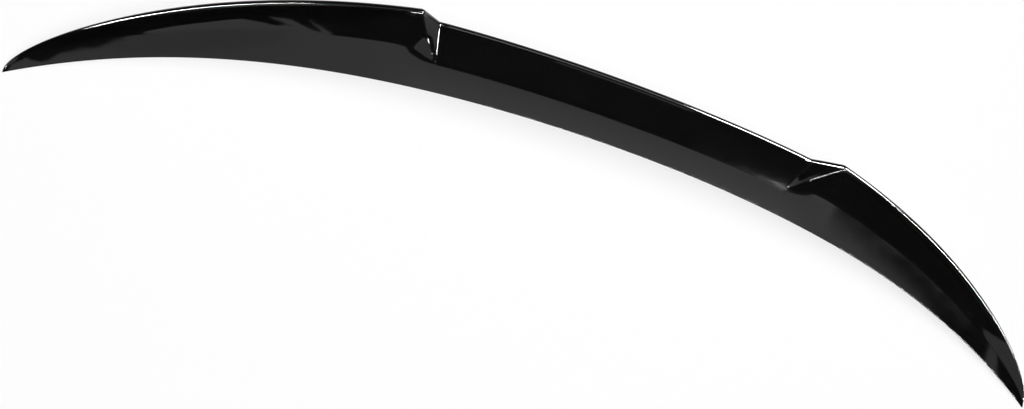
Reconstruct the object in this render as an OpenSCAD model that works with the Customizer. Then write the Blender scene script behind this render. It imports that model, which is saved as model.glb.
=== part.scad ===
// Stick-on rear spoiler for a car boot lid, moulded in one piece.
// A low centre section rises on each side over a slanted step to a taller wing,
// and the whole lip sweeps forward and down towards both ends.
// X runs across the car, Y to its rear and Z up. The origin is on the boot lid,
// under the middle of the front bonding tape.

/* [Overall size] */
// Width over both ends
span = 1200; // [1000:10:1400]
// How far the ends lie ahead of the middle of the front edge
sweep = 112; // [60:1:140]
// How much of the sweep comes late, near the ends
sweep_late = 0.4; // [0:0.01:0.8]
// How far the boot lid falls away from the middle to the ends
drop = 31; // [20:1:60]

/* [Centre section] */
// Half width of the low centre section at the lip
centre_half = 221; // [219:1:235]
// Depth from the front edge to the lip at the middle
centre_depth = 61; // [52:1:80]
// Added depth that grows towards the ends
centre_flare = 15; // [0:1:20]
// Height of the lip over the boot lid
centre_height = 22; // [19:1:32]

/* [Wings] */
// Distance from the middle to where each wing lip starts
wing_start = 253; // [245:1:290]
// Depth of a wing where it starts
wing_depth = 68; // [58:1:85]
// Height of a wing lip where it starts
wing_height = 40; // [34:1:50]
// How bluntly the depth runs out at the ends
depth_power = 0.41; // [0.35:0.01:0.7]
// How early the height falls towards the ends
height_start = 1.5; // [1:0.1:3]
// How bluntly the height runs out at the ends
height_power = 0.56; // [0.4:0.01:0.8]
// Where a wing folds up, as a share of the depth
wing_fold = 0.56; // [0.45:0.01:0.7]
// How much lower the flat front part of a wing runs than the centre's curve
wing_dip = 0.14; // [0:0.01:0.2]
// Width over which the centre's curve turns into a wing's flat front part
dip_reach = 60; // [40:5:120]

/* [Step between centre and wing] */
// Where the step begins, as a share of the depth
step_front = 0.44; // [0.3:0.01:0.5]
// Distance from the middle to the front end of the step
step_front_x = 214; // [200:1:230]
// Width of the step at its front end
step_front_width = 3; // [2:0.5:8]
// Width over which the fold swings back from the step to its place on the wing
fold_reach = 28; // [10:1:60]
// How the step rises towards the lip, 1 is straight
step_rise = 1.12; // [1:0.01:2]
// Softness of the two long edges of the step
step_ease = 0.1; // [0.08:0.02:0.4]

/* [Section] */
// Share of the straight slope in the curved top of the centre
centre_straight = 0.27; // [0.1:0.01:0.8]
// The same share on a wing, in front of its fold
wing_straight = 0.9; // [0.3:0.05:1]
// Rounding of the lip
lip_radius = 3; // [1:0.1:3]
// How far the rear face leans in under the lip
undercut = 6; // [3:0.5:9]
// Thickness of the front edge
edge_thickness = 1.2; // [1:0.1:2]

/* [Hollow underside] */
// Thickness of the skin
wall = 2.8; // [2.4:0.1:3]
// Width of the front bonding land
front_land = 18; // [16:0.5:20]
// Width of the rear bonding foot
rear_foot = 9; // [8:0.5:11]
// Height of the rear bonding foot
foot_height = 5; // [4:0.5:6]
// Where the hollow ends, as a share of the half width
hollow_end = 0.86; // [0.7:0.01:0.88]
// Height over which the rear foot runs into the skin
foot_taper = 4; // [3:0.5:6]
// Thickness of a rib
rib_thickness = 2; // [1.5:0.1:2.5]
// Distances of the ribs from the middle, on both sides
rib_places = [0, 68, 136, 200, 276, 344, 410, 472];
// How far the ribs stop short of the boot lid
rib_gap = 2; // [1:0.5:3]

/* [Bonding tape] */
// Thickness of the foam tape
tape_thickness = 1.1; // [0.8:0.1:1.6]
// Width of the front tape
front_tape_width = 10; // [8:0.5:12]
// Width of the rear tapes
rear_tape_width = 6; // [5:0.5:7]
// Distance of the tapes from the edges that they follow
tape_inset = 2; // [1.5:0.1:2.5]
// Gaps between the three rear tapes
tape_break = 24; // [10:1:40]
// Where the front tape ends, as a share of the half width
tape_end = 0.94; // [0.85:0.01:0.95]

/* [Hidden] */

half = span / 2;
tape_gap = 0.1;
seat = tape_thickness + tape_gap;
y_origin = tape_inset + front_tape_width / 2;

black_gloss = [0.03, 0.03, 0.035];
foam_grey = [0.22, 0.22, 0.23];

centre_steps = 12;
wall_steps = 8;
wing_steps = 26;
top_steps = 15;
nose_steps = 6;
edge_steps = 4;
// Turn of the front edge's rounding, up to where the sloping top starts
edge_turn = 170;
inner_steps = 9;

// Smallest shares of depth, height and rounding that are left at the ends
least_depth = 0.012;
least_height = 0.03;
edge_share = 0.3;
nose_height_share = 0.25;
nose_depth_share = 0.2;
// How far the hollow runs out below the shell, so that it opens cleanly
clear = 1;
// Share of the skin's thickness that is kept where other details shrink
skin_keep = 0.1;
// Where along the depth the inner and outer top are in step, front and slope
inner_slope = 0.3;
inner_end = 0.7;
inner_front = 0.2;

// Front edge of the shell seen from above, and the boot lid under it
function reach(x) = min(1, abs(x) / half);
function front_y(x) =
    -sweep * ((1 - sweep_late) * pow(reach(x), 2) + sweep_late * pow(reach(x), 4)) - y_origin;
function lid_z(x) = seat - drop * pow(reach(x), 2);

// Progress along a wing, 0 where its lip starts and 1 at its end
function along(x) = max(0, min(1, (abs(x) - wing_start) / (half - wing_start)));
function depth_fade(x) = max(least_depth, pow(1 - along(x), depth_power));
function height_fade(x) =
    max(least_height, pow(max(0, 1 - pow(along(x), height_start)), height_power));

// Change from the centre's section to a wing's, outwards from the step
function ease(b) = let (c = max(0, min(1, b))) c * c * (3 - 2 * c);
function winged(x, width) = ease((abs(x) - step_front_x) / width);
function base_height(x) = centre_height * (1 - wing_dip * winged(x, dip_reach));
function straight(x) =
    centre_straight + (wing_straight - centre_straight) * winged(x, dip_reach);
function fold(x) = step_front + (wing_fold - step_front) * winged(x, fold_reach);

// Depth and height at a distance from the middle, share is 0 in the centre and 1 on a wing
function depth(x, share) =
    (1 - share) * (centre_depth + centre_flare * pow(reach(x), 2))
    + share * wing_depth * depth_fade(x);
function height(x, share) =
    (base_height(x) + share * (wing_height - base_height(x))) * height_fade(x);

// Details keep their size over most of the span and shrink near the ends
keep = 1.2;
function shrink(x) = min(1, keep * depth_fade(x), keep * height_fade(x));
function edge_t(x) = min(edge_thickness, edge_share * height(x, 0));
function nose_r(x) = min(lip_radius, nose_height_share * height(x, 0), nose_depth_share * depth(x, 1));

// Rise of the top over its depth, and of the part behind the fold
function base_rise(x) = base_height(x) * height_fade(x) - edge_t(x);
function fold_rise(x, share) = share * (wing_height - base_height(x)) * height_fade(x);
function rise(x, v, share) =
    base_rise(x) * (straight(x) * v + (1 - straight(x)) * v * v)
    + fold_rise(x, share) * pow(max(0, (v - fold(x)) / (1 - fold(x))), step_rise);

// Slope of the top where it meets the lip, and lean of the rear face
function end_slope(x, share) = atan(
    (base_rise(x) * (2 - straight(x)) + fold_rise(x, share) * step_rise / (1 - fold(x)))
    / (depth(x, share) - nose_r(x)));
function lean_depth(x) = undercut * shrink(x);
function lean(x, share) = atan(lean_depth(x) / (height(x, share) - nose_r(x)));

// A point of the top at depth share v, as depth and height over the front edge
function top_end(x, share) = [
    depth(x, share) - nose_r(x) * (1 + sin(end_slope(x, share))),
    height(x, share) - nose_r(x) * (1 - cos(end_slope(x, share)))];
function top_point(x, v, share) = let (
    s = edge_t(x) / 2,
    e = top_end(x, share),
    w = rise(x, v, share) / rise(x, 1, share))
    [s + v * (e[0] - s), edge_t(x) + w * (e[1] - edge_t(x))];

// The step widens from its front end to the lip
function behind(v) = max(0, (v - step_front) / (1 - step_front));
function step_in(v) = step_front_x + (centre_half - step_front_x) * behind(v);
function step_out(v) = let (a = step_front_x + step_front_width) a + (wing_start - a) * behind(v);

// Blend over the step with rounded ends and a straight middle
function blend(b) = let (e = step_ease)
    b <= 0 ? 0 : b >= 1 ? 1
    : b < e ? b * b / (2 * e * (1 - e))
    : b > 1 - e ? 1 - pow(1 - b, 2) / (2 * e * (1 - e))
    : (b - e / 2) / (1 - e);

// Lines that run from the front edge to the lip: part, progress
side_lines = concat(
    [for (i = [1:centre_steps]) [0, i / centre_steps]],
    [for (i = [1:wall_steps]) [1, i / wall_steps]],
    [for (i = [1:wing_steps]) [2, sin(90 * i / wing_steps)]]);
lines = concat(
    [for (i = [len(side_lines) - 1:-1:0]) [-1, side_lines[i]]],
    [[1, [0, 0]]],
    [for (l = side_lines) [1, l]]);

// Where such a line lies at depth share v, and its share of the raised wing
function line_x(l, v) = let (p = l[1][0], k = l[1][1]) l[0] * (
    p == 0 ? k * step_in(v)
    : p == 1 ? step_in(v) + k * (step_out(v) - step_in(v))
    : step_out(v) + k * (half - step_out(v)));
function line_share(l) = l[1][0] == 0 ? 0 : l[1][0] == 2 ? 1 : blend(l[1][1]);

// Closed outline of the shell along one line: front edge, top, lip, rear face, underside
function placed(x, p) = [x, front_y(x) + p[0], lid_z(x) + p[1]];
function outline(l) = let (share = line_share(l), x0 = line_x(l, 0), x1 = line_x(l, 1),
    r0 = edge_t(x0) / 2, r1 = nose_r(x1), th = end_slope(x1, share), ph = lean(x1, share),
    cy = depth(x1, share) - r1, cz = height(x1, share) - r1,
    foot = depth(x1, share) - lean_depth(x1))
    concat(
    [for (i = [0:edge_steps]) let (a = 270 - i * edge_turn / edge_steps)
        placed(x0, [r0 + r0 * cos(a), r0 + r0 * sin(a)])],
    [for (j = [1:top_steps]) let (v = j / top_steps, x = line_x(l, v))
        placed(x, top_point(x, v, share))],
    [for (i = [1:nose_steps]) let (a = 90 + th - i * (90 + th + ph) / nose_steps)
        placed(x1, [cy + r1 * cos(a), cz + r1 * sin(a)])],
    [placed(x1, [foot, 0])]);

// Faces between neighbouring outlines, with flat ends
function skin(n, m) = concat(
    [[for (j = [0:m - 1]) j]],
    [for (i = [0:n - 2], j = [0:m - 1]) [i * m + j, (i + 1) * m + j, (i + 1) * m + (j + 1) % m]],
    [for (i = [0:n - 2], j = [0:m - 1]) [i * m + j, (i + 1) * m + (j + 1) % m, i * m + (j + 1) % m]],
    [[for (j = [m - 1:-1:0]) (n - 1) * m + j]]);

module loft(rows) {
    n = len(rows);
    m = len(rows[0]);
    polyhedron([for (r = rows) each r], [for (f = skin(n, m)) [for (i = [len(f) - 1:-1:0]) f[i]]],
        convexity = 8);
}

// Hollow of the underside along one line, a skin thickness inside the outline
function land(x) = front_land * shrink(x);
function skin_t(x) = wall * min(1, shrink(x) + skin_keep);
function rear_foot_d(x, share) = depth(x, share) - lean_depth(x);
function rear_in_d(x, share, z) =
    rear_foot_d(x, share) + lean_depth(x) * z / height(x, share) - skin_t(x);
function under_top(x, v, share, t) = let (p = top_point(x, v, share))
    [p[0], p[1] - t / cos(end_slope(x, share) * (inner_slope + (1 - inner_slope) * v))];
function first_v(x, share) = land(x) / depth(x, share);
function last_v(x, share) =
    (rear_foot_d(x, share) + inner_end * lean_depth(x) - skin_t(x)) / top_end(x, share)[0];

hollow_x = hollow_end * half;
function hollow_line_x(l, v) = let (p = l[1][0], k = l[1][1]) p < 2 ? line_x(l, v)
    : l[0] * (step_out(v) + k * (hollow_x - step_out(v)));
function hollow(l) = let (share = line_share(l), x0 = hollow_line_x(l, inner_front),
    x1 = hollow_line_x(l, 1), va = first_v(x0, share), vb = last_v(x1, share),
    fh = foot_height * shrink(x1), ft = foot_taper * shrink(x1),
    foot = rear_foot_d(x1, share), w = rear_foot * shrink(x1))
    concat(
    [placed(x0, [land(x0), -clear])],
    [for (j = [0:inner_steps]) let (v = va + (vb - va) * j / inner_steps, x = hollow_line_x(l, v))
        placed(x, under_top(x, v, share, skin_t(x)))],
    [placed(x1, [rear_in_d(x1, share, fh + ft), fh + ft])],
    [placed(x1, [foot - w, fh])],
    [placed(x1, [foot - w, -clear])]);

// One rib: upright bars from the front land to the rear wall, hulled in pairs, that follow the
// top over its fold, so that the rib stays inside the skin
rib_bite = 2;
bar_depth = 0.4;
module bar(x, d, z0, z1) {
    translate([x - rib_thickness / 2, front_y(x) + d - bar_depth / 2, lid_z(x) + z0])
        cube([rib_thickness, bar_depth, z1 - z0]);
}

function rib_stops(x, share, va, vb) = let (vf = share > 0 ? fold(x) : (va + vb) / 2)
    [va, (va + vf) / 2, vf, (vf + vb) / 2, vb];

module rib(x) {
    share = abs(x) < centre_half ? 0 : 1;
    t = skin_t(x) / 2;
    va = first_v(x, share) - rib_bite / depth(x, share);
    vb = (rear_foot_d(x, share) - rib_bite) / top_end(x, share)[0];
    stops = rib_stops(x, share, va, vb);
    for (i = [0:len(stops) - 2]) hull() {
        for (v = [stops[i], stops[i + 1]]) let (p = under_top(x, v, share, t))
            bar(x, p[0], rib_gap, p[1]);
    }
    corner = under_top(x, last_v(x, share), share, t);
    rear = under_top(x, vb, share, t);
    hull() {
        bar(x, rear[0], rib_gap, rear[1]);
        bar(x, corner[0] + rib_bite / 2, corner[1] - rib_bite, corner[1]);
    }
}

module spoiler_shell() {
    color(black_gloss) union() {
        difference() {
            loft([for (l = lines) outline(l)]);
            loft([for (l = lines) hollow(l)]);
        }
        for (x = rib_places, s = x > 0 ? [-1, 1] : [1]) rib(s * x);
    }
}

// A strip of tape under the shell between two distances from the middle
function lip_share(x) = blend((abs(x) - centre_half) / (wing_start - centre_half));
function rear_edge(x) = rear_foot_d(x, lip_share(x));
rear_inset = (rear_foot - rear_tape_width) / 2;
front_tape_steps = 40;
function strip_row(x, d0, d1) = [
    [x, front_y(x) + d0, lid_z(x) - seat],
    [x, front_y(x) + d0, lid_z(x) - tape_gap],
    [x, front_y(x) + d1, lid_z(x) - tape_gap],
    [x, front_y(x) + d1, lid_z(x) - seat]];

module rear_strip(from, to, steps) {
    color(foam_grey) loft([for (i = [0:steps]) let (x = from + (to - from) * i / steps,
        b = rear_edge(x) - rear_inset * shrink(x))
        strip_row(x, b - rear_tape_width * shrink(x), b)]);
}

module front_tape() {
    n = front_tape_steps;
    color(foam_grey) loft([for (i = [-n:n]) let (x = tape_end * half * i / n)
        strip_row(x, tape_inset * shrink(x), (tape_inset + front_tape_width) * shrink(x))]);
}

module rear_tape_left() {
    rear_strip(-hollow_x, -centre_half - tape_break / 2, 22);
}

module rear_tape_centre() {
    rear_strip(tape_break / 2 - centre_half, centre_half - tape_break / 2, 30);
}

module rear_tape_right() {
    rear_strip(centre_half + tape_break / 2, hollow_x, 22);
}

spoiler_shell();
front_tape();
rear_tape_left();
rear_tape_centre();
rear_tape_right();
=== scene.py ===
from math import atan, cos, pi, radians, sin, tan

import bmesh
import bpy
from mathutils import Matrix, Vector


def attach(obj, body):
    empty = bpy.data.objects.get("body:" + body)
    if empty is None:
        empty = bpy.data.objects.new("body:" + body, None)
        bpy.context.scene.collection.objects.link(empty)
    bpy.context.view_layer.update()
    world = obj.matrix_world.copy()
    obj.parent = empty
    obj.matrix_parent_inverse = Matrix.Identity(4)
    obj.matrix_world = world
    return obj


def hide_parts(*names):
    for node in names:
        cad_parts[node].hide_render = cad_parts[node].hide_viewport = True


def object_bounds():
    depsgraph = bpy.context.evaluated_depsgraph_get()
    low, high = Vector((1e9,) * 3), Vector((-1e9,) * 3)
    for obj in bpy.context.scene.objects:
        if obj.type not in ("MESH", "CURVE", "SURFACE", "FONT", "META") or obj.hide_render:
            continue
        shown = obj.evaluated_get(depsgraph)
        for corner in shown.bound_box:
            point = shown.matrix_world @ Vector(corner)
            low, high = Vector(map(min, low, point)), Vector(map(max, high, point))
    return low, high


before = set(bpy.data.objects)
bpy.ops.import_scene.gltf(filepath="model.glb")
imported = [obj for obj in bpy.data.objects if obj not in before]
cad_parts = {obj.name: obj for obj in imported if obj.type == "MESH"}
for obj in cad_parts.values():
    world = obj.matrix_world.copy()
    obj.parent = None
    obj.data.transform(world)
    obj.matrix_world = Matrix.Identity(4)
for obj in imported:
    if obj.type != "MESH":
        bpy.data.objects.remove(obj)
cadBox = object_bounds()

print("packed model loaded:", ", ".join(sorted(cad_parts)))

scene = bpy.context.scene
scene.view_settings.view_transform = "Standard"

# Camera, high over the left end and turned so that the span runs along the picture
camera = {
    "place": (-1.4681, -0.4850, 2.3234),
    "azimuth": -74.046,
    "elevation": 58.36,
    "roll": 90.033,
    "fieldOfView": 20,
    "sensor": 36,
    "clip": (0.05, 100),
}


def makeCamera(c):
    azimuth, elevation, roll = radians(c["azimuth"]), radians(c["elevation"]), radians(c["roll"])
    level = Vector((cos(azimuth), sin(azimuth), 0))
    ahead = Vector((-sin(azimuth), cos(azimuth), 0))
    look = ahead * cos(elevation) - Vector((0, 0, sin(elevation)))
    above = ahead * sin(elevation) + Vector((0, 0, cos(elevation)))
    right = level * cos(roll) + above * sin(roll)
    up = above * cos(roll) - level * sin(roll)
    data = bpy.data.cameras.new("photoCamera")
    data.sensor_width = c["sensor"]
    data.lens = c["sensor"] / 2 / tan(radians(c["fieldOfView"] / 2))
    data.clip_start, data.clip_end = c["clip"]
    cam = bpy.data.objects.new("photoCamera", data)
    turn = Matrix((right, up, -look)).transposed().to_4x4()
    cam.matrix_world = Matrix.Translation(c["place"]) @ turn
    scene.collection.objects.link(cam)
    scene.camera = cam


makeCamera(camera)
print("camera set")

# Node helpers for the materials
noiseSpan = (0.3, 0.7)  # most of a noise texture lies between these values
plasticIor = 1.5


def newMaterial(name):
    mat = bpy.data.materials.new(name)
    mat.use_nodes = True
    return mat, mat.node_tree.nodes, mat.node_tree.links, mat.node_tree.nodes["Principled BSDF"]


def objectPlace(nodes):
    return nodes.new("ShaderNodeTexCoord").outputs["Object"]


def noise(nodes, links, place, scale, detail=2, roughness=0.5):
    n = nodes.new("ShaderNodeTexNoise")
    n.inputs["Scale"].default_value = scale
    n.inputs["Detail"].default_value = detail
    n.inputs["Roughness"].default_value = roughness
    links.new(place, n.inputs["Vector"])
    return n.outputs["Fac"]


def spread(nodes, links, value, fromSpan, toSpan):
    r = nodes.new("ShaderNodeMapRange")
    r.inputs["From Min"].default_value, r.inputs["From Max"].default_value = fromSpan
    r.inputs["To Min"].default_value, r.inputs["To Max"].default_value = toSpan
    links.new(value, r.inputs["Value"])
    return r.outputs["Result"]


def blendColours(nodes, links, value, span, colours):
    r = nodes.new("ShaderNodeValToRGB")
    for element, at, colour in zip(r.color_ramp.elements, span, colours):
        element.position = at
        element.color = (*colour, 1)
    links.new(value, r.inputs["Fac"])
    return r.outputs["Color"]


def bump(nodes, links, height, strength, distance, under=None):
    b = nodes.new("ShaderNodeBump")
    b.inputs["Strength"].default_value = strength
    b.inputs["Distance"].default_value = distance
    links.new(height, b.inputs["Height"])
    if under:
        links.new(under, b.inputs["Normal"])
    return b.outputs["Normal"]


def combine(nodes, links, operation, a, b):
    m = nodes.new("ShaderNodeMath")
    m.operation = operation
    links.new(a, m.inputs[0])
    links.new(b, m.inputs[1])
    return m.outputs["Value"]


# Gloss black lacquer on the outside, with a faint orange peel and slow waves of the moulding
lacquer = {
    "colours": ((0.0028, 0.0028, 0.0029), (0.0040, 0.0040, 0.0041)),
    "toneScale": 14, "toneDetail": 4,
    "roughness": (0.02, 0.04),
    "filmScale": 60, "filmDetail": 5, "filmRoughness": 0.6,
    "waveScale": 38, "waveDetail": 1, "waveDepth": 0.00003,
    "peelScale": 900, "peelDetail": 2, "peelDepth": 0.000002,
}


def makeLacquer(c):
    mat, nodes, links, shader = newMaterial("glossBlackLacquer")
    place = objectPlace(nodes)
    tone = noise(nodes, links, place, c["toneScale"], c["toneDetail"])
    links.new(blendColours(nodes, links, tone, noiseSpan, c["colours"]), shader.inputs["Base Color"])
    film = noise(nodes, links, place, c["filmScale"], c["filmDetail"], c["filmRoughness"])
    links.new(spread(nodes, links, film, noiseSpan, c["roughness"]), shader.inputs["Roughness"])
    waves = noise(nodes, links, place, c["waveScale"], c["waveDetail"])
    wavy = bump(nodes, links, waves, 1, c["waveDepth"])
    peel = noise(nodes, links, place, c["peelScale"], c["peelDetail"])
    links.new(bump(nodes, links, peel, 1, c["peelDepth"], wavy), shader.inputs["Normal"])
    shader.inputs["IOR"].default_value = plasticIor
    return mat


# Bare moulded plastic under the shell, with a fine spark texture
moulded = {
    "colours": ((0.014, 0.014, 0.015), (0.028, 0.028, 0.030)),
    "toneScale": 22, "toneDetail": 6, "toneRoughness": 0.6,
    "roughness": (0.42, 0.62),
    "sparkScale": 1600, "sparkDetail": 2, "sparkStrength": 0.6, "sparkDepth": 0.00003,
}


def makeMoulded(c):
    mat, nodes, links, shader = newMaterial("mouldedBlackPlastic")
    place = objectPlace(nodes)
    tone = noise(nodes, links, place, c["toneScale"], c["toneDetail"], c["toneRoughness"])
    links.new(blendColours(nodes, links, tone, noiseSpan, c["colours"]), shader.inputs["Base Color"])
    links.new(spread(nodes, links, tone, noiseSpan, c["roughness"]), shader.inputs["Roughness"])
    spark = noise(nodes, links, place, c["sparkScale"], c["sparkDetail"])
    links.new(bump(nodes, links, spark, c["sparkStrength"], c["sparkDepth"]), shader.inputs["Normal"])
    shader.inputs["IOR"].default_value = plasticIor
    return mat


# Grey closed-cell foam of the bonding tape
foam = {
    "colours": ((0.15, 0.15, 0.155), (0.23, 0.23, 0.24)),
    "cellScale": 1500, "cellSpan": (0.1, 0.6), "cellStrength": 0.5, "cellDepth": 0.0001,
    "roughness": (0.55, 0.8), "wearScale": 90, "wearDetail": 3,
}


def makeFoam(c):
    mat, nodes, links, shader = newMaterial("greyTapeFoam")
    place = objectPlace(nodes)
    cells = nodes.new("ShaderNodeTexVoronoi")
    cells.inputs["Scale"].default_value = c["cellScale"]
    links.new(place, cells.inputs["Vector"])
    cell = cells.outputs["Distance"]
    links.new(blendColours(nodes, links, cell, c["cellSpan"], c["colours"]), shader.inputs["Base Color"])
    wear = noise(nodes, links, place, c["wearScale"], c["wearDetail"])
    links.new(spread(nodes, links, wear, noiseSpan, c["roughness"]), shader.inputs["Roughness"])
    links.new(bump(nodes, links, cell, c["cellStrength"], c["cellDepth"]), shader.inputs["Normal"])
    return mat


glossBlack = makeLacquer(lacquer)
mouldedBlack = makeMoulded(moulded)
tapeFoam = makeFoam(foam)
print("materials made")

# Shell, all lengths in millimetres until its points are placed
shell = {
    # plan of the front edge and curve of the boot lid
    "half": 600, "sweep": 112, "sweepLate": 0.4, "drop": 31, "setBack": 7, "seat": 1.2,
    # centre and wings
    "centreHalf": 221, "centreDepth": 61, "centreFlare": 15, "centreHeight": 22, "centreStraight": 0.27,
    "wingStart": 253, "wingDepth": 68, "wingHeight": 40, "wingStraight": 0.9, "wingDip": 0.14,
    # how the wings fade towards the tips
    "depthPower": 0.41, "heightStart": 1.5, "heightPower": 0.56,
    "leastDepth": 0.012, "leastHeight": 0.03, "shrinkDelay": 1.2,
    # fold along the wings, and the step: shares of the depth, and places along the span
    "wingFold": 0.56, "foldReach": 28, "dipReach": 60,
    "stepFront": 0.46, "stepApex": 0.48, "stepFrontX": 210, "stepFrontWidth": 1,
    "stepRise": 1.12, "stepEase": 0.1,
    # lip at the back and edge at the front
    "lipRadius": 3, "lipOfHeight": 0.25, "lipOfDepth": 0.2, "undercut": 6,
    "edgeThickness": 1.2, "edgeOfHeight": 0.3, "edgeTurn": 170,
    # hollow underside
    "wall": 2.8, "wallExtra": 0.1, "frontLand": 18, "landPlace": 0.2, "rearFoot": 9,
    "footHeight": 5, "footTaper": 4, "footLean": 0.7, "roofSlope": (0.3, 0.7), "hollowEnd": 516,
    "ribThickness": 2, "ribGap": 2, "ribBite": 2,
    "ribPlaces": (0, 68, 136, 200, 276, 344, 410, 472),
    # mesh density, and the angle past which an edge stays sharp
    "centreColumns": 60, "wallColumns": 28, "wingColumns": 150, "columnGap": 0.002,
    "edgeRows": 8, "topRows": 130, "foldRow": 70, "lipRows": 12, "rearRows": 6, "innerRows": 14,
    "sharpAngle": 32,
}
s = shell


def reach(x):
    return min(1, abs(x) / s["half"])


def frontLine(x):
    curve = (1 - s["sweepLate"]) * reach(x) ** 2 + s["sweepLate"] * reach(x) ** 4
    return -s["sweep"] * curve - s["setBack"]


def lidHeight(x):
    return s["seat"] - s["drop"] * reach(x) ** 2


def alongWing(x):
    return max(0, min(1, (abs(x) - s["wingStart"]) / (s["half"] - s["wingStart"])))


def depthFade(x):
    return max(s["leastDepth"], (1 - alongWing(x)) ** s["depthPower"])


def heightFade(x):
    return max(s["leastHeight"], (1 - alongWing(x) ** s["heightStart"]) ** s["heightPower"])


def eased(b):
    b = max(0, min(1, b))
    return b * b * (3 - 2 * b)


def winged(x, width):
    return eased((abs(x) - s["stepFrontX"]) / width)


def baseHeight(x):
    return s["centreHeight"] * (1 - s["wingDip"] * winged(x, s["dipReach"]))


def straightShare(x):
    return s["centreStraight"] + (s["wingStraight"] - s["centreStraight"]) * winged(x, s["dipReach"])


def foldPlace(x):
    return s["stepFront"] + (s["wingFold"] - s["stepFront"]) * winged(x, s["foldReach"])


def depthAt(x, share):
    centre = s["centreDepth"] + s["centreFlare"] * reach(x) ** 2
    return (1 - share) * centre + share * s["wingDepth"] * depthFade(x)


def heightAt(x, share):
    return (baseHeight(x) + share * (s["wingHeight"] - baseHeight(x))) * heightFade(x)


# Lands, foot and undercut shrink with the wing, but only near its tip
def shrink(x):
    return min(1, s["shrinkDelay"] * depthFade(x), s["shrinkDelay"] * heightFade(x))


def edgeAt(x):
    return min(s["edgeThickness"], s["edgeOfHeight"] * heightAt(x, 0))


def lipAt(x):
    return min(s["lipRadius"], s["lipOfHeight"] * heightAt(x, 0), s["lipOfDepth"] * depthAt(x, 1))


def baseRise(x):
    return baseHeight(x) * heightFade(x) - edgeAt(x)


def foldRise(x, share):
    return share * (s["wingHeight"] - baseHeight(x)) * heightFade(x)


def rise(x, v, share):
    k, f = straightShare(x), foldPlace(x)
    return (baseRise(x) * (k * v + (1 - k) * v * v)
            + foldRise(x, share) * max(0, (v - f) / (1 - f)) ** s["stepRise"])


def endSlope(x, share):
    climb = baseRise(x) * (2 - straightShare(x)) + foldRise(x, share) * s["stepRise"] / (1 - foldPlace(x))
    return atan(climb / (depthAt(x, share) - lipAt(x)))


def leanDepth(x):
    return s["undercut"] * shrink(x)


def topEnd(x, share):
    slope, r = endSlope(x, share), lipAt(x)
    return depthAt(x, share) - r * (1 + sin(slope)), heightAt(x, share) - r * (1 - cos(slope))


# In front of the fold one even surface runs from the centre onto the wing
def topPoint(x, v, share):
    start, (endD, endH) = edgeAt(x) / 2, topEnd(x, share)
    w = rise(x, v, share) / rise(x, 1, share)
    evenD = topEnd(x, winged(x, s["dipReach"]))[0]
    behindFold = max(0, (v - s["wingFold"]) / (1 - s["wingFold"]))
    d = start + v * (evenD - start) + behindFold * (endD - evenD)
    return d, edgeAt(x) + w * (endH - edgeAt(x))


# The step widens from its front end to the lip, and its two long edges are rounded
def behindStep(v):
    return max(0, (v - s["stepApex"]) / (1 - s["stepApex"]))


def stepInner(v):
    return s["stepFrontX"] + (s["centreHalf"] - s["stepFrontX"]) * behindStep(v)


def stepOuter(v):
    start = s["stepFrontX"] + s["stepFrontWidth"]
    return start + (s["wingStart"] - start) * behindStep(v)


def stepBlend(b):
    e = s["stepEase"]
    if b < e:
        return b * b / (2 * e * (1 - e))
    if b > 1 - e:
        return 1 - (1 - b) ** 2 / (2 * e * (1 - e))
    return (b - e / 2) / (1 - e)


# Columns run from the middle to the tip, as part, progress in it and whether the hollow is open.
# The parts are 0 centre, 1 step and 2 wing
def makeColumns():
    hollowK = (s["hollowEnd"] - s["wingStart"]) / (s["half"] - s["wingStart"])
    columns = [(0, i / s["centreColumns"], 1) for i in range(s["centreColumns"] + 1)]
    columns += [(1, i / s["wallColumns"], 1) for i in range(1, s["wallColumns"] + 1)]
    wing = [sin(radians(90 * i / s["wingColumns"])) for i in range(1, s["wingColumns"] + 1)]
    columns += [(2, k, 1) for k in wing if k < hollowK - s["columnGap"]]
    columns += [(2, hollowK, 1), (2, hollowK, 0)]
    columns += [(2, k, 0) for k in wing if k > hollowK + s["columnGap"]]
    return columns, hollowK


# Rows run once round the section: front edge, top, lip, rear face, foot, hollow, front land
def makeRows():
    rows = [("edge", i / s["edgeRows"]) for i in range(s["edgeRows"] + 1)]
    rows += [("top", i / s["topRows"]) for i in range(1, s["topRows"] + 1)]
    rows += [("lip", i / s["lipRows"]) for i in range(1, s["lipRows"] + 1)]
    rows += [("rear", i / s["rearRows"]) for i in range(1, s["rearRows"] + 1)]
    rows += [("foot", 0), ("foot", 1), ("foot", 2)]
    rows += [("under", 1 - i / s["innerRows"]) for i in range(s["innerRows"] + 1)]
    rows += [("land", 0), ("edge", 0)]
    return rows


def columnX(column, v, hollowK=None):
    part, k, _ = column
    if part == 0:
        return k * stepInner(v)
    if part == 1:
        return stepInner(v) + k * (stepOuter(v) - stepInner(v))
    if hollowK and k <= hollowK:
        return stepOuter(v) + k / hollowK * (s["hollowEnd"] - stepOuter(v))
    return stepOuter(v) + k * (s["half"] - stepOuter(v))


# One row of the top runs exactly along the fold
def foldedPlace(x, v):
    row, fold = s["foldRow"] / s["topRows"], foldPlace(x)
    return fold * v / row if v < row else fold + (1 - fold) * (v - row) / (1 - row)


# From distance behind the front edge and height over the lid to a point in metres
def placed(x, d, z):
    return Vector((x, frontLine(x) + d, lidHeight(x) + z)) / 1000


def skinAt(x):
    return s["wall"] * min(1, shrink(x) + s["wallExtra"])


def footDepth(x, share):
    return depthAt(x, share) - leanDepth(x)


# Roof of the hollow, one wall under the top
def underTop(x, v, share, thickness):
    d, z = topPoint(x, v, share)
    atFront, gain = s["roofSlope"]
    return d, z - thickness / cos(endSlope(x, share) * (atFront + gain * v))


def underStart(x, share):
    return s["frontLand"] * shrink(x) / depthAt(x, share)


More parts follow.
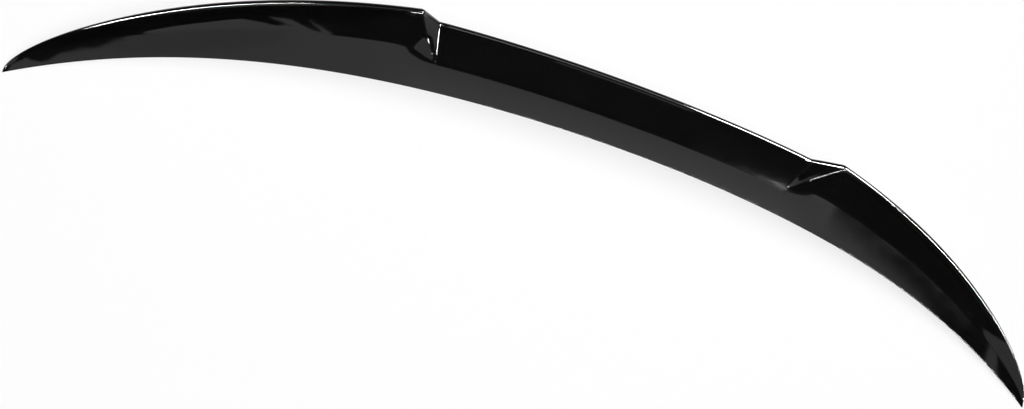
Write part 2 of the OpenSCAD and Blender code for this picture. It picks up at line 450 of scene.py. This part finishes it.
def underEnd(x, share):
    return (footDepth(x, share) + s["footLean"] * leanDepth(x) - skinAt(x)) / topEnd(x, share)[0]


def ringPoint(column, row, hollowK):
    part, k, opened = column
    kind, v = row
    share = 0 if part == 0 else 1 if part == 2 else stepBlend(k)
    if kind == "edge":
        x = columnX(column, 0)
        r, a = edgeAt(x) / 2, radians(270 - v * s["edgeTurn"])
        return placed(x, r + r * cos(a), r + r * sin(a))
    if kind == "top":
        v = foldedPlace(columnX(column, 0.5), v)
        x = columnX(column, v)
        return placed(x, *topPoint(x, v, share))
    if kind in ("lip", "rear"):
        x = columnX(column, 1)
        r = lipAt(x)
        slope, lean = endSlope(x, share), atan(leanDepth(x) / (heightAt(x, share) - r))
        turned = v if kind == "lip" else 1
        a = pi / 2 + slope - turned * (pi / 2 + slope + lean)
        d, z = depthAt(x, share) - r + r * cos(a), heightAt(x, share) - r + r * sin(a)
        if kind == "rear":
            d, z = d + v * (footDepth(x, share) - d), z * (1 - v)
        return placed(x, d, z)
    if kind == "land":
        x = columnX(column, s["landPlace"], hollowK)
        return placed(x, s["frontLand"] * shrink(x), 0)
    if kind == "foot":
        x = columnX(column, 1, hollowK)
        footHeight, taper = s["footHeight"] * shrink(x), s["footTaper"] * shrink(x)
        inner = footDepth(x, share) - s["rearFoot"] * shrink(x)
        if v < 2:
            return placed(x, inner, opened * v * footHeight)
        z = footHeight + taper
        d = footDepth(x, share) + leanDepth(x) * z / heightAt(x, share) - skinAt(x)
        return placed(x, d if opened else inner, opened * z)
    x = columnX(column, 1, hollowK)
    first, last = underStart(columnX(column, s["landPlace"], hollowK), share), underEnd(x, share)
    at = first + (last - first) * v
    x = columnX(column, at, hollowK)
    d, z = underTop(x, at, share, skinAt(x))
    return placed(x, d, opened * z)


# A rib is a thin plate whose upper edge lies inside the wall and follows the fold
def addRib(bm, x):
    share = 0 if abs(x) < s["centreHalf"] else 1
    skin = skinAt(x) / 2
    first = underStart(x, share) - s["ribBite"] / depthAt(x, share)
    last = (footDepth(x, share) - s["ribBite"]) / topEnd(x, share)[0]
    middle = foldPlace(x) if share else (first + last) / 2
    places = (first, (first + middle) / 2, middle, (middle + last) / 2, last)
    stops = [(*underTop(x, v, share, skin), s["ribGap"]) for v in places]
    cornerD, cornerZ = underTop(x, underEnd(x, share), share, skin)
    stops.append((cornerD + s["ribBite"] / 2, cornerZ, cornerZ - s["ribBite"]))
    grid = bmesh.ops.create_grid(bm, x_segments=len(stops) - 1, y_segments=1, size=1)["verts"]
    across = Vector((s["ribThickness"] / 1000, 0, 0))
    for vert in grid:
        d, high, low = stops[round((vert.co.x + 1) / 2 * (len(stops) - 1))]
        vert.co = placed(x, d, high if vert.co.y > 0 else low) - across / 2
    faces = list({f for vert in grid for f in vert.link_faces})
    new = bmesh.ops.extrude_face_region(bm, geom=faces, use_keep_orig=True)["geom"]
    newVerts = [g for g in new if isinstance(g, bmesh.types.BMVert)]
    bmesh.ops.translate(bm, vec=across, verts=newVerts)
    ribFaces = {f for vert in grid + newVerts for f in vert.link_faces}
    for f in ribFaces:
        f.material_index = 1
    bmesh.ops.recalc_face_normals(bm, faces=list(ribFaces))
    return ribFaces


def makeShell():
    columns, hollowK = makeColumns()
    rows = makeRows()
    bm = bmesh.new()
    bmesh.ops.create_grid(bm, x_segments=len(columns) - 1, y_segments=len(rows) - 1, size=1)
    kindOf = {}
    foldLine = set()
    for vert in bm.verts:
        i = round((vert.co.x + 1) / 2 * (len(columns) - 1))
        j = round((vert.co.y + 1) / 2 * (len(rows) - 1))
        kindOf[vert] = rows[j][0]
        vert.co = ringPoint(columns[i], rows[j], hollowK)
        if columns[i][0] and rows[j] == ("top", s["foldRow"] / s["topRows"]):
            foldLine.add(vert)
    for f in bm.faces:
        kinds = {kindOf[v] for v in f.verts}
        if kinds & {"foot", "under", "land"}:
            f.material_index = 1
    for e in bm.edges:
        if foldLine.issuperset(e.verts):
            e.smooth = False
    bmesh.ops.remove_doubles(bm, verts=bm.verts, dist=0.0000005)
    tip = [e for e in bm.edges if e.is_boundary and all(v.co.x > s["hollowEnd"] / 1000 for v in e.verts)]
    bmesh.ops.holes_fill(bm, edges=tip, sides=0)
    bmesh.ops.recalc_face_normals(bm, faces=bm.faces)
    halfShell = bm.verts[:] + bm.edges[:] + bm.faces[:]
    bmesh.ops.mirror(bm, geom=halfShell, axis="X", merge_dist=0.000001)
    bmesh.ops.recalc_face_normals(bm, faces=bm.faces)
    for f in bm.faces:
        f.smooth = True
    for e in bm.edges:
        if len(e.link_faces) == 2 and e.calc_face_angle(0) > radians(s["sharpAngle"]):
            e.smooth = False
    for place in s["ribPlaces"]:
        for side in (1, -1) if place else (1,):
            for f in addRib(bm, side * place):
                f.smooth = False
    mesh = bpy.data.meshes.new("spoilerShellGloss")
    bm.to_mesh(mesh)
    bm.free()
    piece = bpy.data.objects.new("spoilerShellGloss", mesh)
    scene.collection.objects.link(piece)
    mesh.materials.append(glossBlack)
    mesh.materials.append(mouldedBlack)
    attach(piece, "root")
    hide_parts("spoiler_shell")
    return piece


shellPiece = makeShell()
print("shell made:", len(shellPiece.data.polygons), "faces")

# Bonding tapes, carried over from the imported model
for name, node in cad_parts.items():
    if "tape" in name:
        node.data.materials.clear()
        node.data.materials.append(tapeFoam)
print("tapes finished")

# Pale paper just under the lowest points of the shell
floor = {"size": 60, "gap": 0.0003, "colour": (0.92, 0.92, 0.92), "glow": 0.8}


def seenDirectly(nodes, links):
    paths = nodes.new("ShaderNodeLightPath").outputs
    seen = combine(nodes, links, "MAXIMUM", paths["Is Camera Ray"], paths["Is Glossy Ray"])
    return combine(nodes, links, "MAXIMUM", seen, paths["Is Transmission Ray"])


def makeFloor(c):
    bm = bmesh.new()
    bmesh.ops.create_grid(bm, x_segments=1, y_segments=1, size=c["size"] / 2)
    bmesh.ops.translate(bm, verts=bm.verts, vec=(0, 0, cadBox[0][2] - c["gap"]))
    mesh = bpy.data.meshes.new("studioFloor")
    bm.to_mesh(mesh)
    bm.free()
    piece = bpy.data.objects.new("studioFloor", mesh)
    scene.collection.objects.link(piece)
    mat, nodes, links, shader = newMaterial("palePaper")
    shader.inputs["Base Color"].default_value = (*c["colour"], 1)
    shader.inputs["Roughness"].default_value = 1
    shader.inputs["Specular IOR Level"].default_value = 0
    glow = nodes.new("ShaderNodeEmission")
    glow.inputs["Strength"].default_value = 1
    mix = nodes.new("ShaderNodeMixShader")
    links.new(spread(nodes, links, seenDirectly(nodes, links), (0, 1), (0, c["glow"])), mix.inputs["Fac"])
    links.new(shader.outputs["BSDF"], mix.inputs[1])
    links.new(glow.outputs["Emission"], mix.inputs[2])
    links.new(mix.outputs["Shader"], nodes["Material Output"].inputs["Surface"])
    mesh.materials.append(mat)


makeFloor(floor)

# Dark room, so that only the lights and cards below show in the gloss
room = {"colour": (0.02, 0.02, 0.02)}
world = bpy.data.worlds.new("darkRoom")
scene.world = world
world.use_nodes = True
world.node_tree.nodes["Background"].inputs["Color"].default_value = (*room["colour"], 1)
world.node_tree.nodes["Background"].inputs["Strength"].default_value = 1


def makePanel(name, corners, material):
    bm = bmesh.new()
    bmesh.ops.contextual_create(bm, geom=[bm.verts.new(p) for p in corners])
    mesh = bpy.data.meshes.new(name)
    bm.to_mesh(mesh)
    bm.free()
    piece = bpy.data.objects.new(name, mesh)
    scene.collection.objects.link(piece)
    mesh.materials.append(material)
    piece.visible_camera = False
    piece.visible_diffuse = False
    piece.visible_shadow = False


def glowMaterial(name, strength):
    mat, nodes, links, shader = newMaterial(name)
    nodes.remove(shader)
    glow = nodes.new("ShaderNodeEmission")
    glow.inputs["Strength"].default_value = strength
    links.new(glow.outputs["Emission"], nodes["Material Output"].inputs["Surface"])
    return mat, nodes, links, glow


# One wide soft light overhead, which the front of the top mirrors as its grey band
softLight = {
    "x": (-0.4, 2.8), "y": (-0.75, 0.0), "height": 1.5,
    # front edge of the light, as points of x and y
    "front": ((-0.40, -0.30), (-0.27, -0.355), (-0.10, -0.405), (-0.03, -0.443), (0.00, -0.47),
              (0.034, -0.518), (0.085, -0.558), (0.123, -0.580), (0.16, -0.612), (0.20, -0.640),
              (0.30, -0.665), (0.45, -0.66), (0.60, -0.61), (1.30, -0.62), (1.40, -0.62),
              (1.47, -0.52), (1.58, -0.555), (1.70, -0.575), (1.78, -0.55), (1.855, -0.52),
              (1.87, -0.75), (2.80, -0.75)),
    "frontSpan": (-0.8, 0),
    # half width of its soft edge, and its brightness, both along x
    "softness": ((-0.40, 0.01), (0.40, 0.004), (0.90, 0.008), (1.40, 0.02), (1.50, 0.035),
                 (1.84, 0.02), (1.87, 0.01)),
    "softnessSpan": (0, 0.1),
    "brightness": ((-0.40, 0.8), (1.50, 1.0), (1.84, 0.7), (2.80, 0.7)),
    # it grows brighter towards the back
    "levelFrom": -0.6, "level": (0.72, 1.0),
}


# A value that follows points along x, read from a curve between 0 and 1
def profile(nodes, links, place, xSpan, points, span):
    curve = nodes.new("ShaderNodeFloatCurve")
    line = curve.mapping.curves[0]
    (x0, x1), (low, high) = xSpan, span
    spots = [((x - x0) / (x1 - x0), (v - low) / (high - low)) for x, v in points]
    line.points[0].location, line.points[1].location = spots[0], spots[-1]
    for spot in spots[1:-1]:
        line.points.new(*spot)
    for point in line.points:
        point.handle_type = "VECTOR"
    curve.mapping.update()
    links.new(spread(nodes, links, place, xSpan, (0, 1)), curve.inputs["Value"])
    return spread(nodes, links, curve.outputs["Value"], (0, 1), span)


def makeSoftLight(c):
    mat, nodes, links, glow = glowMaterial("softLightCloth", 1)
    place = nodes.new("ShaderNodeSeparateXYZ")
    links.new(objectPlace(nodes), place.inputs["Vector"])
    x, y = place.outputs["X"], place.outputs["Y"]
    front = profile(nodes, links, x, c["x"], c["front"], c["frontSpan"])
    softness = profile(nodes, links, x, c["x"], c["softness"], c["softnessSpan"])
    edge = nodes.new("ShaderNodeMapRange")
    edge.interpolation_type = "SMOOTHSTEP"
    links.new(combine(nodes, links, "SUBTRACT", front, softness), edge.inputs["From Min"])
    links.new(combine(nodes, links, "ADD", front, softness), edge.inputs["From Max"])
    links.new(y, edge.inputs["Value"])
    level = spread(nodes, links, y, (c["levelFrom"], c["y"][1]), c["level"])
    brightness = profile(nodes, links, x, c["x"], c["brightness"], (0, 1))
    edged = combine(nodes, links, "MULTIPLY", edge.outputs["Result"], level)
    links.new(combine(nodes, links, "MULTIPLY", edged, brightness), glow.inputs["Strength"])
    (x0, x1), (y0, y1) = c["x"], c["y"]
    makePanel("softLight", [(*p, c["height"]) for p in ((x0, y0), (x1, y0), (x1, y1), (x0, y1))], mat)


makeSoftLight(softLight)

# Black paper on the floor, and pale upright cards that the wings and the left step mirror.
# Each lies in the plane where x, y or z has one value, and its corners give the other two
cards = (
    {"name": "floorPaper", "glow": 0.0, "plane": ("z", -0.0298),
     "corners": ((-0.45, -0.15), (0.35, -0.15), (0.35, -0.58), (-0.45, -0.58))},
    {"name": "floorPaperEdge", "glow": 0.0, "plane": ("y", -0.58),
     "corners": ((-0.45, -0.0298), (0.35, -0.0298), (0.35, 0.03), (-0.45, 0.03))},
    {"name": "leftWingCard", "glow": 0.55, "plane": ("y", -0.579),
     "corners": ((-0.028, 0.060), (-0.020, 0.000), (0.005, -0.022), (0.020, -0.044), (0.033, -0.052),
                 (0.050, -0.040), (0.073, -0.026), (0.099, -0.001), (0.084, 0.002), (0.072, 0.020),
                 (0.068, 0.045), (0.076, 0.070), (0.093, 0.140), (0.106, 0.300), (0.170, 0.610),
                 (0.258, 0.950), (0.350, 1.400), (0.370, 1.495), (0.135, 1.495), (0.115, 1.370),
                 (0.060, 0.950), (0.000, 0.610), (-0.015, 0.300))},
    {"name": "rightTipCard", "glow": 0.5, "plane": ("y", -1.0),
     "corners": ((0.700, 0.200), (0.755, 0.214), (0.780, 0.243), (0.800, 0.270), (0.813, 0.315),
                 (0.866, 0.450), (0.950, 0.720), (0.950, 0.900), (0.700, 0.900))},
    {"name": "stepCard", "glow": 0.45, "plane": ("x", 2.0),
     "corners": ((-0.75, -0.03), (-0.15, -0.03), (-0.15, 0.60), (-0.75, 0.60))},
)


def makeCard(c):
    axis, at = c["plane"]
    i = "xyz".index(axis)
    corners = [(*p[:i], at, *p[i:]) for p in c["corners"]]
    makePanel(c["name"], corners, glowMaterial(c["name"], c["glow"])[0])


for c in cards:
    makeCard(c)

# Lamps, seen in the gloss as thin white lines along the lip and the steps, and one wide fill
lamps = (
    {"name": "fillLamp", "place": (0.0, 0.3, 2.6), "aim": (0, 0, 0), "turn": 0,
     "size": (3.0, 3.0), "radiance": 3.7, "gloss": False},
    {"name": "leftLipLamp", "place": (-0.27, -0.04, 1.5), "aim": (-0.27, -0.04, 0), "turn": 14,
     "size": (0.72, 0.2), "radiance": 400, "gloss": True},
    {"name": "centreLipLamp", "place": (0.75, 0.24, 1.5), "aim": (0.75, 0.24, 0), "turn": 0,
     "size": (0.7, 0.2), "radiance": 8, "gloss": True},
    {"name": "rightLipLamp", "place": (1.5, 0.26, 1.5), "aim": (1.5, 0.26, 0), "turn": 0,
     "size": (0.8, 0.5), "radiance": 130, "gloss": True},
    {"name": "leftStepLamp", "place": (7.914, -4.696, 7.49), "aim": (-0.22, 0, 0.02), "turn": 19,
     "size": (0.60, 3.2), "radiance": 350, "gloss": True},
    {"name": "rightStepLamp", "place": (0.528, -0.741, 0.453), "aim": (0.24, 0, 0.03), "turn": 0,
     "size": (0.3, 0.036), "radiance": 250, "gloss": True},
)


def makeLamp(c):
    data = bpy.data.lights.new(c["name"], "AREA")
    data.shape = "RECTANGLE"
    data.size, data.size_y = c["size"]
    data.energy = c["radiance"] * pi * data.size * data.size_y
    lamp = bpy.data.objects.new(c["name"], data)
    place = Vector(c["place"])
    away = (place - Vector(c["aim"])).normalized()
    across = Vector((0, 0, 1)).cross(away)
    # a lamp that looks straight down has no level direction of its own
    across = across.normalized() if across.length > 0.01 else Vector((1, 0, 0))
    turn = Matrix((across, away.cross(across), away)).transposed().to_4x4()
    lamp.matrix_world = Matrix.Translation(place) @ turn @ Matrix.Rotation(radians(-c["turn"]), 4, "Z")
    lamp.visible_camera = False
    lamp.visible_glossy = c["gloss"]
    lamp.visible_diffuse = not c["gloss"]
    scene.collection.objects.link(lamp)


for c in lamps:
    makeLamp(c)
print("studio set")
